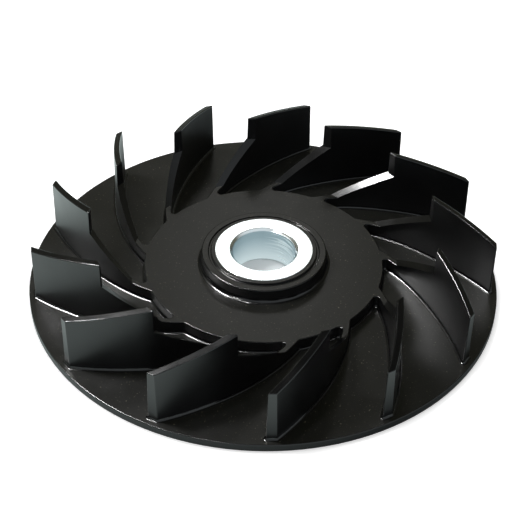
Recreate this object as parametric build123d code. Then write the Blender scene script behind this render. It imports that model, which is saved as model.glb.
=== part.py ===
from build123d import *
import math
import os

# A radial cooling fan impeller, made of two pieces. A black moulding holds a
# flat disc, a raised hub and a ring of curved blades. It is moulded round a
# turned steel bush that sits on the shaft. The shaft's axis is Z, the blades
# stand towards +Z, and the underside lies on Z = 0.

# ------------------------------------------------------------ sizes, in mm

# disc
DISC_RADIUS = 64.0
RIM_THICKNESS = 2.2
FLOOR_RISE = 1.1          # the floor climbs this much from the rim to the hub
RIM_EDGE = 0.25

# hub plateau, the round step inside the blades
PLATEAU_RADIUS = 32.6
PLATEAU_HEIGHT = 6.8

# boss and collar round the bush
BOSS_RADIUS = 17.0
BOSS_HEIGHT = 10.7
BOSS_EDGE = 0.3
BOSS_FOOT = 1.2
COLLAR_WIDTH = 1.1
COLLAR_RISE = 0.35
COLLAR_EDGE = 0.15
RELIEF_WIDTH = 0.7        # shallow groove round the foot of the collar
RELIEF_DEPTH = 0.35
RELIEF_CORNER = 0.15

# blades
BLADE_COUNT = 13
TIP_INSET = 1.8           # a blade ends this far inside the rim
TIP_HEIGHT = 17.8
STEP_RADIUS = 46.8        # the tall part of a blade ends here
STEP_HEIGHT = 22.3
RIDGE_HEIGHT = 15.0       # top of the low ridge, at the foot of the step
RIDGE_LENGTH = 10.4       # radial length of its slope, down to the plateau
BLADE_LEAN = 47.3         # degrees between a blade and the radius it crosses
BLADE_FLATTENING = 0.4    # how far hubward of the spiral a blade lies, midway
RIDGE_THICKNESS = 1.8     # a blade's thickness at Z = 0, where it meets the plateau
STEP_THICKNESS = 2.4      # the same, at the step
TIP_THICKNESS = 2.2       # the same, at the tip
BLADE_DRAFT = 0.8         # degrees, on each face, for the mould
BLADE_EDGE = 0.25         # rounding of a blade's tall part, above the ridge
CREST_EDGE = 0.2          # rounding along the top of plateau and ridges
NOTCH_FILLET = 1.0        # upright corners between ridge and plateau
FLOOR_FILLET = 0.7        # round the foot of blades, ridges and plateau

# cored underside, which keeps the hub's wall even
HUB_WALL = 3.0
CORE_CORNER = 0.8

# steel bush
BORE_RADIUS = 8.5
BORE_CHAMFER = 0.75
BUSH_WALL = 4.8
BUSH_PROUD = 0.15         # the bush stands this much above the collar
BUSH_EDGE = 0.15
GROOVE_WIDTH = 3.0        # groove that locks the bush in the moulding
GROOVE_DEPTH = 0.6

# ------------------------------------------------ sizes that follow from them

TIP_RADIUS = DISC_RADIUS - TIP_INSET
BUSH_RADIUS = BORE_RADIUS + BUSH_WALL
COLLAR_RADIUS = BUSH_RADIUS + COLLAR_WIDTH
COLLAR_HEIGHT = BOSS_HEIGHT + COLLAR_RISE
RELIEF_RADIUS = COLLAR_RADIUS + RELIEF_WIDTH
RELIEF_FLOOR = BOSS_HEIGHT - RELIEF_DEPTH
BUSH_HEIGHT = COLLAR_HEIGHT + BUSH_PROUD
GROOVE_RADIUS = BUSH_RADIUS - GROOVE_DEPTH
GROOVE_BOTTOM = (BUSH_HEIGHT - GROOVE_WIDTH) / 2
GROOVE_TOP = GROOVE_BOTTOM + GROOVE_WIDTH
FLOOR_AT_HUB = RIM_THICKNESS + FLOOR_RISE
CORE_DEPTH = PLATEAU_HEIGHT - HUB_WALL
CORE_RADIUS = PLATEAU_RADIUS - HUB_WALL
RIDGE_END_RADIUS = STEP_RADIUS - RIDGE_LENGTH
ROOT_RADIUS = PLATEAU_RADIUS - RIDGE_THICKNESS     # how deep the ridges root
SPLINE_POINTS = 7
OVERRUN = 1.0             # how far the drafted wall runs past the top it is cut to
CLOSE = 0.05              # how near an edge lies to the place it is picked by


def turned(corners):
    """A solid turned round Z, from corners given as (radius, height, rounding)."""
    with BuildPart() as body:
        with BuildSketch(Plane.XZ) as section:
            with BuildLine():
                Polyline([(r, z) for r, z, _ in corners], close=True)
            make_face()
            for r, z, rounding in corners:
                if rounding:
                    corner = section.vertices().sort_by_distance((r, z))[0]
                    fillet(corner, rounding)
        revolve(axis=Axis.Z)
    return body.part


def plate():
    """Disc, plateau, boss and collar, with the core and the bush's seat."""
    return turned([
        (BUSH_RADIUS, 0, 0),
        (BOSS_RADIUS, 0, BOSS_EDGE),
        (BOSS_RADIUS, CORE_DEPTH, CORE_CORNER),
        (CORE_RADIUS, CORE_DEPTH, CORE_CORNER),
        (CORE_RADIUS, 0, BOSS_EDGE),
        (DISC_RADIUS, 0, RIM_EDGE),
        (DISC_RADIUS, RIM_THICKNESS, RIM_EDGE),
        (PLATEAU_RADIUS, FLOOR_AT_HUB, 0),
        (PLATEAU_RADIUS, PLATEAU_HEIGHT, 0),
        (BOSS_RADIUS, PLATEAU_HEIGHT, BOSS_FOOT),
        (BOSS_RADIUS, BOSS_HEIGHT, BOSS_EDGE),
        (RELIEF_RADIUS, BOSS_HEIGHT, RELIEF_CORNER),
        (RELIEF_RADIUS, RELIEF_FLOOR, RELIEF_CORNER),
        (COLLAR_RADIUS, RELIEF_FLOOR, RELIEF_CORNER),
        (COLLAR_RADIUS, COLLAR_HEIGHT, COLLAR_EDGE),
        (BUSH_RADIUS, COLLAR_HEIGHT, 0),
        (BUSH_RADIUS, GROOVE_TOP, 0),
        (GROOVE_RADIUS, GROOVE_TOP, 0),
        (GROOVE_RADIUS, GROOVE_BOTTOM, 0),
        (BUSH_RADIUS, GROOVE_BOTTOM, 0),
    ])


def thickness(radius):
    """A blade's thickness at Z = 0: thickest at the step, thinner at both ends."""
    if radius < STEP_RADIUS:
        share = max(0, (radius - RIDGE_END_RADIUS) / RIDGE_LENGTH)
        return RIDGE_THICKNESS + share * (STEP_THICKNESS - RIDGE_THICKNESS)
    share = (radius - STEP_RADIUS) / (TIP_RADIUS - STEP_RADIUS)
    return STEP_THICKNESS + share * (TIP_THICKNESS - STEP_THICKNESS)


def face_point(radius, side, height):
    """A point on a face of the blade whose tip lies at angle 0.

    The blade's middle line follows a logarithmic spiral, which crosses each
    radius at the same angle, but is a little flatter between ridge and tip.
    side is 1 on the outward face and -1 on the hubward one.
    """
    lean = math.radians(BLADE_LEAN)
    angle = math.degrees(math.tan(lean) * math.log(TIP_RADIUS / radius))
    along = (radius - RIDGE_END_RADIUS) / (TIP_RADIUS - RIDGE_END_RADIUS)
    flattening = BLADE_FLATTENING * max(0, 4 * along * (1 - along))
    half = thickness(radius) / 2 - height * math.tan(math.radians(BLADE_DRAFT))
    outward = Vector(half * side - flattening, 0).rotate(Axis.Z, angle + 90 - BLADE_LEAN)
    return Vector(radius, 0).rotate(Axis.Z, angle) + outward + Vector(0, 0, height)


def blade_section(height):
    """The blade's section at one height, longer than the blade at both ends."""
    inner = ROOT_RADIUS - RIDGE_THICKNESS
    outer = TIP_RADIUS + TIP_THICKNESS
    step = (outer - inner) / (SPLINE_POINTS - 1)
    radii = [inner + step * number for number in range(SPLINE_POINTS)]
    outward = Spline([face_point(r, 1, height) for r in radii])
    hubward = Spline([face_point(r, -1, height) for r in radii])
    ends = [Line(outward @ 0, hubward @ 0), Line(outward @ 1, hubward @ 1)]
    return make_face([outward, hubward, *ends])


def blade():
    """One blade and its ridge: a drafted wall, cut to length by a turned form."""
    wall = loft([blade_section(0), blade_section(STEP_HEIGHT + OVERRUN)], ruled=True)
    limits = turned([
        (ROOT_RADIUS, 0, 0),
        (TIP_RADIUS, 0, 0),
        (TIP_RADIUS, TIP_HEIGHT, 0),
        (STEP_RADIUS, STEP_HEIGHT, 0),
        (STEP_RADIUS, RIDGE_HEIGHT, 0),
        (RIDGE_END_RADIUS, PLATEAU_HEIGHT, 0),
        (ROOT_RADIUS, PLATEAU_HEIGHT, 0),
    ])
    piece = (wall & limits).solid()
    tall_edges = [
        edge for edge in piece.edges()
        if edge.bounding_box().max.Z > RIDGE_HEIGHT + CLOSE
    ]
    return piece.fillet(BLADE_EDGE, tall_edges)


def edge_radius(edge):
    """How far the middle of an edge lies from the shaft's axis."""
    return math.hypot(edge.center().X, edge.center().Y)


def notch_edges(solid):
    """The upright edges where the ridges leave the plateau's wall."""
    return [
        edge for edge in solid.edges()
        if abs(edge_radius(edge) - PLATEAU_RADIUS) < CLOSE
        and FLOOR_AT_HUB < edge.center().Z < PLATEAU_HEIGHT
        and edge.bounding_box().size.Z > (PLATEAU_HEIGHT - FLOOR_AT_HUB) / 2
    ]


def crest_edges(solid):
    """The upper edges of the plateau and the ridges, without the ridges' creases."""
    return [
        edge for edge in solid.edges()
        if edge.bounding_box().min.Z > PLATEAU_HEIGHT - CLOSE
        and edge.bounding_box().max.Z < RIDGE_HEIGHT + CLOSE
        and edge_radius(edge) > PLATEAU_RADIUS - CLOSE
        and not (edge.geom_type == GeomType.CIRCLE and edge_radius(edge) > RIDGE_END_RADIUS - CLOSE)
    ]


def foot_edges(solid):
    """The edges where blades, ridges and plateau stand on the disc's floor."""
    return [
        edge for edge in solid.edges()
        if RIM_THICKNESS < edge.center().Z < FLOOR_AT_HUB + CLOSE
        and edge.bounding_box().max.Z < FLOOR_AT_HUB + CLOSE
        and edge_radius(edge) < TIP_RADIUS + CLOSE
        and edge.geom_type != GeomType.LINE
    ]


def fan_moulding():
    """The whole black moulding, blades and all."""
    first = blade()
    turn = 360 / BLADE_COUNT
    blades = [Rot(0, 0, turn * number) * first for number in range(BLADE_COUNT)]
    body = plate().fuse(*blades).solid()
    body = body.fillet(NOTCH_FILLET, notch_edges(body))
    body = body.fillet(CREST_EDGE, crest_edges(body))
    return body.fillet(FLOOR_FILLET, foot_edges(body))


def shaft_bush():
    """The turned steel bush, with its bore, chamfers and locking groove."""
    return turned([
        (BORE_RADIUS, BORE_CHAMFER, 0),
        (BORE_RADIUS + BORE_CHAMFER, 0, 0),
        (BUSH_RADIUS, 0, 0),
        (BUSH_RADIUS, GROOVE_BOTTOM, 0),
        (GROOVE_RADIUS, GROOVE_BOTTOM, 0),
        (GROOVE_RADIUS, GROOVE_TOP, 0),
        (BUSH_RADIUS, GROOVE_TOP, 0),
        (BUSH_RADIUS, BUSH_HEIGHT, BUSH_EDGE),
        (BORE_RADIUS + BORE_CHAMFER, BUSH_HEIGHT, 0),
        (BORE_RADIUS, BUSH_HEIGHT - BORE_CHAMFER, 0),
    ])


os.makedirs("parts", exist_ok=True)
for name, piece in {"fan_moulding": fan_moulding(), "shaft_bush": shaft_bush()}.items():
    piece.label = name
    export_step(piece, f"parts/{name}.step")
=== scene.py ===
"""A radial fan impeller: one black nylon moulding, made round a turned steel bush.

The part stands on its underside, with the shaft's axis on Z and the blades towards +Z.
"""

import math

import bpy
from bpy.props import FloatProperty, FloatVectorProperty, IntProperty, PointerProperty
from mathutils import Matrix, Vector


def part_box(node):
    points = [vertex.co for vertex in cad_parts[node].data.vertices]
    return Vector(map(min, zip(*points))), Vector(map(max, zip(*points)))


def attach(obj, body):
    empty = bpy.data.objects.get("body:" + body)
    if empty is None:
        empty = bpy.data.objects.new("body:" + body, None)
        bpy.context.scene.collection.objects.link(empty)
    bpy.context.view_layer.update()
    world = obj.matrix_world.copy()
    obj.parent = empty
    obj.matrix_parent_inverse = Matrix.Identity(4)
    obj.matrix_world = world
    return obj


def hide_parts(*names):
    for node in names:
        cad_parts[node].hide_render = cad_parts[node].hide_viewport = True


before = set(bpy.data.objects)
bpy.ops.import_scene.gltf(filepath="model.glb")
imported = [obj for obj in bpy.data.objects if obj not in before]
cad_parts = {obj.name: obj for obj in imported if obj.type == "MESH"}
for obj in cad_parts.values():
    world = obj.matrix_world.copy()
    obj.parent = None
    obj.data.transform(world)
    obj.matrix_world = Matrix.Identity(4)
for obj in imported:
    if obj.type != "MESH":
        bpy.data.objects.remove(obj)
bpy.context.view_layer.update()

bl_info = {
    "name": "Radial Fan Impeller",
    "version": (1, 0, 0),
    "blender": (4, 5, 0),
    "location": "3D View > Sidebar > Impeller",
    "description": "Finishes a moulded radial fan impeller with a steel bush, and lights it",
    "category": "Object",
}

MM = 0.001
DISC_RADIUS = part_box("fan_moulding")[1].x
BUSH_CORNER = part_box("shaft_bush")[1]

# How straight up a face looks, as the Z of its normal: where a finish starts, and where it is full.
GRAINED_FACES = (0.975, 0.995)      # the disc's floor and the plateau
ROUNDED_FACES = (0.04, 0.15)        # all but the upright sides of the blades

# Heights of the fine relief on the nylon.
POLISHED_GRAIN_HEIGHT = 0.006 * MM
GRAINED_GRAIN_HEIGHT = 0.022 * MM
MOTTLE_HEIGHT = 0.012 * MM
MOTTLE_DULLNESS = 0.025             # how much a cloudy patch changes the roughness, either way

# The boring tool's streaks in the bush, which are also painted bright on one side as painted highlights.
STREAK_POLISH = 0.12                # how much smoother a streak is than the wall beside it
STREAK_AND_GLINT_SIDE = (-1.0 * MM, 5.0 * MM)  # the streaks, and the painted highlights on them, grow from this X to that one
PLATING_GRAIN = 0.5 * MM            # the real one is far finer, so it is drawn coarser to show

# The floor, as it is seen and as glossy faces mirror it. In the mirror it carries a painted shadow round the
# part, and a painted glow under the bore.
FLOOR_SIZE = 4.0
FLOOR_FADE = (0.96, 1.04)           # times the disc's radius
# Where the painted shadow in the floor's mirror image is centred and fades out, and where the painted glow
# under the bore ends.
SHADE_MIDDLE = (6 * MM, 6 * MM, 0)
SHADE_EDGE = (67 * MM, 83 * MM)
PAINTED_GLOW_EDGE = (9.2 * MM, 8.8 * MM)

# The surround, as glossy faces mirror it.
CEILING_RISE = (0.62, 0.88)         # Z of the direction in which it darkens
FRONT = (0.5, -0.86, 0)
FRONT_WIDTH = (0.15, 0.5)

# Name, azimuth and elevation in degrees, width and height in metres, radiance,
# and whether it shows in gloss only.
LAMP_DISTANCE = 0.9
SOFTBOXES = (
    ("key_softbox", 165, 58, 0.25, 0.25, 12.0, False),
    ("edge_strip", 171, 55, 0.10, 0.30, 190.0, True),
    ("front_strip", -140, 50, 0.06, 0.06, 190.0, True),
    ("top_strip", 170, 79, 0.05, 0.05, 190.0, True),
    ("back_softbox", 95, 40, 0.13, 0.13, 2.4, True),
)

# The Mix node's sockets for colours: its two inputs and its output.
COLOUR_A, COLOUR_B, COLOUR_RESULT = 6, 7, 2


# ------------------------------------------------------------------ settings


def millimetres(name, description, default):
    """A length property, in metres, with its default given in millimetres."""
    return FloatProperty(name=name, description=description, default=default * MM, unit="LENGTH", min=0)


def linear(hex_colour, strength=1.0):
    """An sRGB colour, written as #RRGGBB, as the linear RGBA that sockets take, times strength."""
    channels = [int(hex_colour[i:i + 2], 16) / 255 for i in (1, 3, 5)]
    values = [c / 12.92 if c <= 0.04045 else ((c + 0.055) / 1.055) ** 2.4 for c in channels]
    return (*(value * strength for value in values), 1.0)


def colour(name, description, default):
    """A colour property, with its default written as an sRGB hex value."""
    return FloatVectorProperty(name=name, description=description, default=linear(default), size=4,
                               min=0, max=1, subtype="COLOR")


def share(name, description, default):
    """A number between 0 and 1."""
    return FloatProperty(name=name, description=description, default=default, min=0, max=1, subtype="FACTOR")


class MouldingFinish(bpy.types.PropertyGroup):
    """Colours and surface of the black nylon."""

    polished: colour("Polished", "Nylon where the mould is polished, on the blades", "#060607")
    grained: colour("Grained", "Nylon where the mould is grained, on the flat faces", "#11110B")
    fleck: colour("Fleck", "Glass fibre that shows at the skin of the flat faces", "#8A8672")
    edge_roughness: share("Edge Roughness", "Roughness of the rounded edges and the blades' tops", 0.17)
    polished_roughness: share("Polished Roughness", "Roughness of the blades' sides", 0.30)
    grained_roughness: share("Grained Roughness", "Roughness of the flat faces", 0.30)
    # A mould's grain is finer than this. It is drawn coarser, so that it shows.
    grain: millimetres("Grain", "Width of one grain of the mould's texture", 0.36)
    mottle: millimetres("Mottle", "Width of the cloudy patches where the flow cooled", 7.0)


class BushSizes(bpy.types.PropertyGroup):
    """Sizes of the steel bush."""

    radius: millimetres("Radius", "Outside radius", BUSH_CORNER.x / MM)
    height: millimetres("Height", "Length along the shaft", BUSH_CORNER.z / MM)
    bore: millimetres("Bore", "Radius of the bore", 8.5)
    chamfer: millimetres("Chamfer", "Chamfer at both ends of the bore", 0.75)
    groove_width: millimetres("Groove Width", "Width of the locking groove", 3.0)
    groove_depth: millimetres("Groove Depth", "Depth of the locking groove", 0.6)
    edge: millimetres("Edge", "Rounding of the turned edges", 0.12)
    # A boring tool's marks lie closer than this. They are drawn further apart, so that they show.
    tool_pitch: millimetres("Tool Pitch", "Spacing of the boring tool's marks", 0.85)
    tool_mark: millimetres("Tool Mark", "Height of the boring tool's marks", 0.035)
    segments: IntProperty(name="Segments", description="Flats round the bush", default=160, min=24)


class BushFinish(bpy.types.PropertyGroup):
    """Colour and surface of the turned steel."""

    face: colour("Face", "Bright zinc on the turned faces", "#EEF3F4")
    # The bore's colour at the top of its wall. Lower down, the wall is painted paler, as a painted reflection
    # of the floor.
    bore: colour("Bore", "Duller zinc inside the bore", "#AFBFC5")
    roughness: share("Roughness", "Roughness of the turned faces", 0.18)
    bore_roughness: share("Bore Roughness", "Roughness of the bore", 0.36)
    streak_width: millimetres("Streak Width", "Width of one streak in the bore", 0.55)
    streak_length: millimetres("Streak Length", "Length of one streak in the bore", 9.0)


class StudioSettings(bpy.types.PropertyGroup):
    """Floor, lamps and camera."""

    floor: colour("Floor", "Colour of the floor", "#F2F2F2")
    lens: FloatProperty(name="Lens", description="Focal length of the camera", default=95.49, unit="CAMERA")
    place: FloatVectorProperty(name="Camera", description="Where the camera stands", subtype="TRANSLATION",
                               unit="LENGTH", default=(0.02335, -0.29440, 0.25142))
    turn: FloatVectorProperty(name="Camera Turn", description="How the camera is turned", subtype="EULER",
                              unit="ROTATION", default=[math.radians(a) for a in (50.247, -0.866, 5.236)])


# ----------------------------------------------------------------- materials


def add_node(tree, kind, settings=None, links=None):
    """Adds a node. settings holds its properties and plain sockets, and links its linked sockets."""
    node = tree.nodes.new("ShaderNode" + kind)
    for key, value in (settings or {}).items():
        if isinstance(key, str) and hasattr(node, key):
            setattr(node, key, value)
        else:
            node.inputs[key].default_value = value
    for key, source in (links or {}).items():
        tree.links.new(source, node.inputs[key])
    return node


def new_material(name):
    """An empty node material, and its tree."""
    material = bpy.data.materials.new(name)
    material.use_nodes = True
    material.node_tree.nodes.clear()
    return material, material.node_tree


def moulded_black_nylon(finish):
    """Injection-moulded black nylon with glass fibre.

    The blades leave a polished part of the mould and shine. The flat faces
    leave a finely grained part, so they look dull and a little warmer.
    """
    material, tree = new_material("moulded_black_nylon")
    place = add_node(tree, "TexCoord").outputs["Object"]
    facing = add_node(tree, "SeparateXYZ", links={0: add_node(tree, "NewGeometry").outputs["Normal"]})
    flat = add_node(tree, "MapRange", {"From Min": GRAINED_FACES[0], "From Max": GRAINED_FACES[1]},
                    {"Value": facing.outputs["Z"]}).outputs["Result"]
    rounded = add_node(tree, "MapRange", {"From Min": ROUNDED_FACES[0], "From Max": ROUNDED_FACES[1]},
                       {"Value": facing.outputs["Z"]}).outputs["Result"]

    grain = add_node(tree, "TexNoise", {"Scale": 1 / finish.grain, "Detail": 3.0, "Roughness": 0.6},
                     {"Vector": place})
    mottle = add_node(tree, "TexNoise", {"Scale": 1 / finish.mottle, "Detail": 2.0}, {"Vector": place})
    # Glass fibres are far thinner than a grain. They are drawn as flecks a little wider than one.
    fibre = add_node(tree, "TexNoise", {"Scale": 0.8 / finish.grain, "Detail": 1.0}, {"Vector": place})

    skin = add_node(tree, "MixRGB", {"Color1": finish.polished, "Color2": finish.grained}, {"Fac": flat})
    sparse = add_node(tree, "MapRange", {"From Min": 0.70, "From Max": 0.78, "To Max": 0.6},
                      {"Value": fibre.outputs["Fac"]})
    flecks = add_node(tree, "Math", {"operation": "MULTIPLY"}, {0: sparse.outputs["Result"], 1: flat})
    flecked = add_node(tree, "MixRGB", {"Color2": finish.fleck},
                       {"Fac": flecks.outputs[0], "Color1": skin.outputs[0]})

    cloud = add_node(tree, "MapRange", {
        "From Min": 0.3, "From Max": 0.7, "To Min": -MOTTLE_DULLNESS, "To Max": MOTTLE_DULLNESS},
        {"Value": mottle.outputs["Fac"]})
    sides = add_node(tree, "MapRange", {"To Min": finish.polished_roughness, "To Max": finish.edge_roughness},
                     {"Value": rounded})
    flats = add_node(tree, "MapRange", {"To Max": finish.grained_roughness - finish.edge_roughness},
                     {"Value": flat})
    even = add_node(tree, "Math", {"operation": "ADD"},
                    {0: sides.outputs["Result"], 1: flats.outputs["Result"]})
    roughness = add_node(tree, "Math", {"operation": "ADD"},
                         {0: even.outputs[0], 1: cloud.outputs["Result"]})

    grain_height = add_node(tree, "MapRange", {
        "To Min": POLISHED_GRAIN_HEIGHT, "To Max": GRAINED_GRAIN_HEIGHT}, {"Value": flat})
    grain_bumps = add_node(tree, "Math", {"operation": "MULTIPLY"},
                           {0: grain.outputs["Fac"], 1: grain_height.outputs["Result"]})
    surface = add_node(tree, "Math", {"operation": "MULTIPLY_ADD", 1: MOTTLE_HEIGHT},
                       {0: mottle.outputs["Fac"], 2: grain_bumps.outputs[0]})
    bump = add_node(tree, "Bump", {"Strength": 1.0, "Distance": 1.0}, {"Height": surface.outputs[0]})

    shader = add_node(tree, "BsdfPrincipled", {"IOR": 1.5}, {
        "Base Color": flecked.outputs[0], "Roughness": roughness.outputs[0], "Normal": bump.outputs[0]})
    add_node(tree, "OutputMaterial", links={"Surface": shader.outputs[0]})
    return material


def zinc_plated_turned_steel(finish, sizes):
    """Turned steel with bright zinc plating, which gives it a pale blue cast.

    The face is fine and even. The bore keeps short streaks where the
    boring tool chattered, and they run round it. They lie on its +X side only,
    where their bright colour is a painted highlight of the lamp, and the bore's
    wall is painted paler towards the bottom, as a painted reflection of the floor.
    """
    material, tree = new_material("zinc_plated_turned_steel")
    place = add_node(tree, "TexCoord").outputs["Object"]
    parts = add_node(tree, "SeparateXYZ", links={0: place})
    across = add_node(tree, "VectorMath", {"operation": "MULTIPLY", 1: (1, 1, 0)}, {0: place})
    radius = add_node(tree, "VectorMath", {"operation": "LENGTH"}, {0: across.outputs[0]})
    in_bore = add_node(tree, "MapRange", {
        "From Min": sizes.bore + 0.3 * sizes.chamfer, "From Max": sizes.bore + 0.1 * sizes.chamfer},
        {"Value": radius.outputs["Value"]}).outputs["Result"]

    drawn_out = add_node(tree, "VectorMath", {"operation": "MULTIPLY", 1: (
        1 / finish.streak_length, 1 / finish.streak_length, 1 / finish.streak_width)}, {0: place})
    streak = add_node(tree, "TexNoise", {"Scale": 1.0, "Detail": 2.0, "Roughness": 0.5},
                      {"Vector": drawn_out.outputs[0]})
    line = add_node(tree, "MapRange", {"From Min": 0.50, "From Max": 0.60}, {"Value": streak.outputs["Fac"]})
    # Streaks only on the +X side, where their bright colour stands in for the lamp's highlights.
    streak_and_glint_side = add_node(tree, "MapRange", {"From Min": STREAK_AND_GLINT_SIDE[0], "From Max": STREAK_AND_GLINT_SIDE[1]},
                       {"Value": parts.outputs["X"]})
    side_streaks_and_glints = add_node(tree, "Math", {"operation": "MULTIPLY"},
                      {0: line.outputs["Result"], 1: streak_and_glint_side.outputs["Result"]})
    marks = add_node(tree, "Math", {"operation": "MULTIPLY"}, {0: side_streaks_and_glints.outputs[0], 1: in_bore})

    # Painted reflection of the floor: the bore's wall goes from the bore colour at the top to the face colour
    # near the bottom.
    painted_floor_reflection = add_node(tree, "MapRange", {"From Min": 0.75 * sizes.height, "From Max": 0.15 * sizes.height},
                        {"Value": parts.outputs["Z"]})
    wall = add_node(tree, "MixRGB", {"Color1": finish.bore, "Color2": finish.face},
                    {"Fac": painted_floor_reflection.outputs["Result"]})
    plain = add_node(tree, "MixRGB", {"Color1": finish.face}, {"Fac": in_bore, "Color2": wall.outputs[0]})
    # Painted highlight: the streaks take the bright face colour.
    skin = add_node(tree, "MixRGB", {"Color2": finish.face},
                    {"Fac": marks.outputs[0], "Color1": plain.outputs[0]})
    wall_roughness = add_node(tree, "MapRange", {
        "To Min": finish.roughness, "To Max": finish.bore_roughness}, {"Value": in_bore})
    roughness = add_node(tree, "Math", {"operation": "MULTIPLY_ADD", 1: -STREAK_POLISH},
                         {0: marks.outputs[0], 2: wall_roughness.outputs["Result"]})
    grain = add_node(tree, "TexNoise", {"Scale": 1 / PLATING_GRAIN, "Detail": 3.0}, {"Vector": place})
    height = add_node(tree, "Math", {"operation": "MULTIPLY_ADD", 1: 0.15},
                      {0: grain.outputs["Fac"], 2: marks.outputs[0]})
    bump = add_node(tree, "Bump", {"Strength": 0.25, "Distance": 0.05 * MM}, {"Height": height.outputs[0]})
    shader = add_node(tree, "BsdfPrincipled", {"Metallic": 1.0}, {
        "Base Color": skin.outputs[0], "Roughness": roughness.outputs[0], "Normal": bump.outputs[0]})
    add_node(tree, "OutputMaterial", links={"Surface": shader.outputs[0]})
    return material


# -------------------------------------------------------------------- pieces


def deselect_all():
    """Clears the selection, because an operator acts on all that is selected."""
    bpy.ops.object.select_all(action="DESELECT")


def turned_ring(name, corners, segments):
    """A closed ring, made by extruding a circle from corner to corner of its section.

    corners holds (radius, height) pairs, in metres, in order round the section.
    """
    deselect_all()
    radius, height = corners[0]
    bpy.ops.mesh.primitive_circle_add(vertices=segments, radius=radius, location=(0, 0, 0))
    ring = bpy.context.object
    ring.name = name
    bpy.ops.object.mode_set(mode="EDIT")
    bpy.ops.transform.translate(value=(0, 0, height))
    for next_radius, next_height in corners[1:] + corners[:1]:
        bpy.ops.mesh.extrude_region_move(TRANSFORM_OT_translate={"value": (0, 0, next_height - height)})
        scale = next_radius / radius
        bpy.ops.transform.resize(value=(scale, scale, 1), center_override=(0, 0, 0))
        radius, height = next_radius, next_height
    bpy.ops.mesh.select_all(action="SELECT")
    bpy.ops.mesh.remove_doubles(threshold=0.001 * MM)
    bpy.ops.mesh.normals_make_consistent(inside=False)
    bpy.ops.object.mode_set(mode="OBJECT")
    return ring


def round_edges(piece, width, angle=30):
    """Smooths the piece, and rounds the edges that are sharper than angle."""
    bpy.ops.object.shade_smooth_by_angle(angle=math.radians(angle))
    bevel = piece.modifiers.new("rounded_edges", "BEVEL")
    bevel.width = width
    bevel.segments = 3
    bevel.limit_method = "ANGLE"
    bevel.harden_normals = True
    bevel.angle_limit = math.radians(angle)
    bpy.ops.object.modifier_apply(modifier=bevel.name)


def bored_wall(sizes):
    """The corners of the bore's wall, from bottom to top, with the boring tool's fine ridges."""
    low = sizes.chamfer
    high = sizes.height - sizes.chamfer
    count = int((high - low) / sizes.tool_pitch)
    step = (high - low) / count
    corners = []
    for number in range(count):
        corners.append((sizes.bore, low + step * number))
        corners.append((sizes.bore + sizes.tool_mark, low + step * (number + 0.5)))
    return corners + [(sizes.bore, high)]


class IMPELLER_OT_moulding(bpy.types.Operator):
    """Gives the black moulding its finish"""

    bl_idname = "impeller.moulding"
    bl_label = "Moulding"

    def execute(self, context):
        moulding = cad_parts["fan_moulding"]
        nylon = moulded_black_nylon(context.scene.moulding_finish)
        for slot in moulding.material_slots:
            slot.material = nylon
        return {"FINISHED"}


class IMPELLER_OT_bush(bpy.types.Operator):
    """Turns the steel bush, with its bore, chamfers and locking groove"""

    bl_idname = "impeller.bush"
    bl_label = "Bush"

    def execute(self, context):
        sizes = context.scene.bush_sizes
        mouth = sizes.bore + sizes.chamfer
        groove_radius = sizes.radius - sizes.groove_depth
        groove_low = (sizes.height - sizes.groove_width) / 2
        groove_high = groove_low + sizes.groove_width
        outside = [
            (mouth, sizes.height),
            (sizes.radius, sizes.height),
            (sizes.radius, groove_high),
            (groove_radius, groove_high),
            (groove_radius, groove_low),
            (sizes.radius, groove_low),
            (sizes.radius, 0.0),
            (mouth, 0.0),
        ]
        bush = turned_ring("steel_bush", bored_wall(sizes) + outside, sizes.segments)
        round_edges(bush, sizes.edge)
        bush.data.materials.append(zinc_plated_turned_steel(context.scene.bush_finish, sizes))
        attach(bush, "root")
        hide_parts("shaft_bush")
        return {"FINISHED"}


# -------------------------------------------------------------------- studio


def ray_value(tree, light, seen, mirrored):
    """The value of light, but seen where the camera looks, and mirrored where a glossy face does."""
    path = add_node(tree, "LightPath")
    for is_ray, value in (("Is Glossy Ray", mirrored), ("Is Camera Ray", seen)):
        choice = add_node(tree, "Mix", {"data_type": "RGBA"}, {"Factor": path.outputs[is_ray]})
        for socket, source in ((COLOUR_A, light), (COLOUR_B, value)):
            if isinstance(source, tuple):
                choice.inputs[socket].default_value = source
            else:
                tree.links.new(source, choice.inputs[socket])
        light = choice.outputs[COLOUR_RESULT]
    return light


def light_world():
    """A white surround for the camera, and a soft even light for the rest."""
    world = bpy.data.worlds.new("white_studio")
    bpy.context.scene.world = world
    world.use_nodes = True
    tree = world.node_tree
    tree.nodes.clear()
    direction = add_node(tree, "TexCoord").outputs["Generated"]
    parts = add_node(tree, "SeparateXYZ", links={0: direction})
    up = add_node(tree, "MapRange", {"From Min": CEILING_RISE[0], "From Max": CEILING_RISE[1]},
                  {"Value": parts.outputs["Z"]})
    forward = add_node(tree, "VectorMath", {"operation": "DOT_PRODUCT", 1: FRONT}, {0: direction})
    front = add_node(tree, "MapRange", {"From Min": FRONT_WIDTH[0], "From Max": FRONT_WIDTH[1]},
                     {"Value": forward.outputs["Value"]})
    ceiling = add_node(tree, "MixRGB", {
        "Color1": linear("#FFFFE3", 0.13), "Color2": linear("#FFFFEB", 0.06)}, {"Fac": up.outputs["Result"]})
    mirrored = add_node(tree, "MixRGB", {"Color2": linear("#F3FBFF", 0.78)},
                        {"Fac": front.outputs["Result"], "Color1": ceiling.outputs[0]})
    light = ray_value(tree, linear("#FFFFFF", 0.6), linear("#FFFFFF"), mirrored.outputs[0])
    sky = add_node(tree, "Background", links={"Color": light})
    add_node(tree, "OutputWorld", links={"Surface": sky.outputs[0]})


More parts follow.
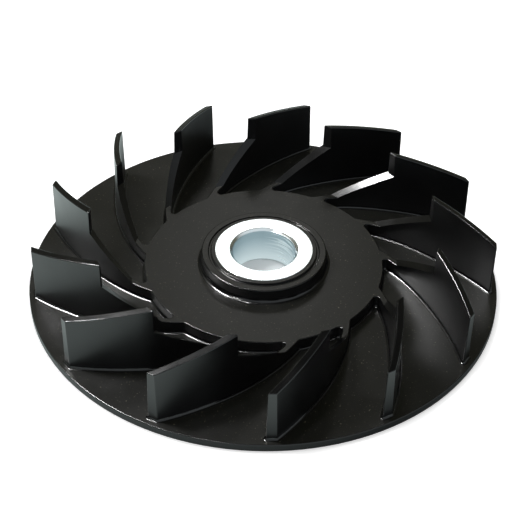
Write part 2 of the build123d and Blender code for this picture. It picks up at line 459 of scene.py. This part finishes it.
def add_floor(floor_colour):
    """A wide pale floor that keeps the part's shadow, and is white away from it. Glossy faces see it with a
    painted shadow round the part, and a painted glow under the bore.
    """
    deselect_all()
    bpy.ops.mesh.primitive_plane_add(size=FLOOR_SIZE, location=(0, 0, 0))
    floor = bpy.context.object
    floor.name = "studio_floor"
    material, tree = new_material("pale_studio_floor")
    black = linear("#000000")
    place = add_node(tree, "TexCoord").outputs["Object"]
    radius = add_node(tree, "VectorMath", {"operation": "LENGTH"}, {0: place}).outputs["Value"]

    outside = add_node(tree, "MapRange", {
        "From Min": DISC_RADIUS * FLOOR_FADE[0], "From Max": DISC_RADIUS * FLOOR_FADE[1]}, {"Value": radius})
    seen = add_node(tree, "MixRGB", {"Color1": black, "Color2": linear("#FFFFFF", 0.75)},
                    {"Fac": outside.outputs["Result"]})

    # Painted shadow: glossy faces see the floor dim round the part and bright away from it.
    from_shade = add_node(tree, "VectorMath", {"operation": "SUBTRACT", 1: SHADE_MIDDLE}, {0: place})
    reach = add_node(tree, "VectorMath", {"operation": "LENGTH"}, {0: from_shade.outputs[0]})
    lit = add_node(tree, "MapRange", {"From Min": SHADE_EDGE[0], "From Max": SHADE_EDGE[1]},
                   {"Value": reach.outputs["Value"]})
    painted_shadow_in_mirror = add_node(tree, "MixRGB", {
        "Color1": linear("#F1FFFF", 0.17), "Color2": linear("#F0FFFC", 1.43)}, {"Fac": lit.outputs["Result"]})
    # Painted glow: glossy faces see the floor under the bore lit, so that the bore's wall mirrors it.
    painted_glow_under_bore = add_node(tree, "MapRange", {"From Min": PAINTED_GLOW_EDGE[0], "From Max": PAINTED_GLOW_EDGE[1]},
                          {"Value": radius})
    mirrored = add_node(tree, "MixRGB", {"Color2": linear("#EDFCFF", 0.78)},
                        {"Fac": painted_glow_under_bore.outputs["Result"], "Color1": painted_shadow_in_mirror.outputs[0]})

    pale = tuple(floor_colour)
    shader = add_node(tree, "BsdfPrincipled", {
        "Roughness": 0.9, "Specular IOR Level": 0.0, "Emission Strength": 1.0}, {
        "Base Color": ray_value(tree, pale, pale, black),
        "Emission Color": ray_value(tree, black, seen.outputs[0], mirrored.outputs[0])})
    # Only the top of the floor shows, so that the part's underside can be seen from below.
    one_sided = add_node(tree, "MixShader", links={
        0: add_node(tree, "NewGeometry").outputs["Backfacing"],
        1: shader.outputs[0],
        2: add_node(tree, "BsdfTransparent").outputs[0]})
    add_node(tree, "OutputMaterial", links={"Surface": one_sided.outputs[0]})
    floor.data.materials.append(material)


def add_softbox(name, azimuth, elevation, width, height, radiance, only_gloss):
    """A rectangular lamp that points at the part's middle.

    Its azimuth and elevation are in degrees, from +X and from the floor.
    radiance 1 looks as bright as the white floor, in a mirror. With only_gloss
    it is a reflector that shows in glossy faces and gives no other light.
    """
    turn, lift = math.radians(azimuth), math.radians(elevation)
    towards = Vector((math.cos(lift) * math.cos(turn), math.cos(lift) * math.sin(turn), math.sin(lift)))
    place = towards * LAMP_DISTANCE
    deselect_all()
    bpy.ops.object.light_add(type="AREA", location=place)
    lamp = bpy.context.object
    lamp.name = name
    lamp.data.shape = "RECTANGLE"
    lamp.data.size = width
    lamp.data.size_y = height
    lamp.data.energy = radiance * math.pi * width * height
    lamp.rotation_euler = (-place).to_track_quat("-Z", "Y").to_euler()
    lamp.visible_diffuse = not only_gloss


def add_camera(settings):
    """The camera, with a long lens, above and in front of the part."""
    deselect_all()
    bpy.ops.object.camera_add(location=settings.place, rotation=settings.turn)
    camera = bpy.context.object
    camera.name = "studio_camera"
    camera.data.lens = settings.lens
    camera.data.clip_start = 10 * MM
    bpy.context.scene.camera = camera


class IMPELLER_OT_studio(bpy.types.Operator):
    """Builds the floor, the lamps and the camera"""

    bl_idname = "impeller.studio"
    bl_label = "Studio"

    def execute(self, context):
        settings = context.scene.studio_settings
        context.scene.view_settings.view_transform = "Standard"
        light_world()
        add_floor(settings.floor)
        for softbox in SOFTBOXES:
            add_softbox(*softbox)
        add_camera(settings)
        return {"FINISHED"}


# --------------------------------------------------------------------- add-on


OPERATORS = (IMPELLER_OT_moulding, IMPELLER_OT_bush, IMPELLER_OT_studio)
SETTINGS = {
    "moulding_finish": MouldingFinish,
    "bush_sizes": BushSizes,
    "bush_finish": BushFinish,
    "studio_settings": StudioSettings,
}


class IMPELLER_PT_builders(bpy.types.Panel):
    """Lists the impeller's builders and their settings in the sidebar"""

    bl_label = "Radial Fan Impeller"
    bl_space_type = "VIEW_3D"
    bl_region_type = "UI"
    bl_category = "Impeller"

    def draw(self, context):
        for group in SETTINGS:
            box = self.layout.box()
            for key in SETTINGS[group].__annotations__:
                box.prop(getattr(context.scene, group), key)
        for operator in OPERATORS:
            self.layout.operator(operator.bl_idname)


CLASSES = (*SETTINGS.values(), *OPERATORS, IMPELLER_PT_builders)


def register():
    """Registers the classes, and gives the scene their settings."""
    for cls in CLASSES:
        bpy.utils.register_class(cls)
    for group, cls in SETTINGS.items():
        setattr(bpy.types.Scene, group, PointerProperty(type=cls))


def unregister():
    """Takes back what register did."""
    for group in SETTINGS:
        delattr(bpy.types.Scene, group)
    for cls in reversed(CLASSES):
        bpy.utils.unregister_class(cls)


def main():
    """Builds the pieces and the studio."""
    register()
    deselect_all()
    bpy.ops.impeller.moulding()
    bpy.ops.impeller.bush()
    bpy.ops.impeller.studio()


if __name__ == "__main__":
    main()
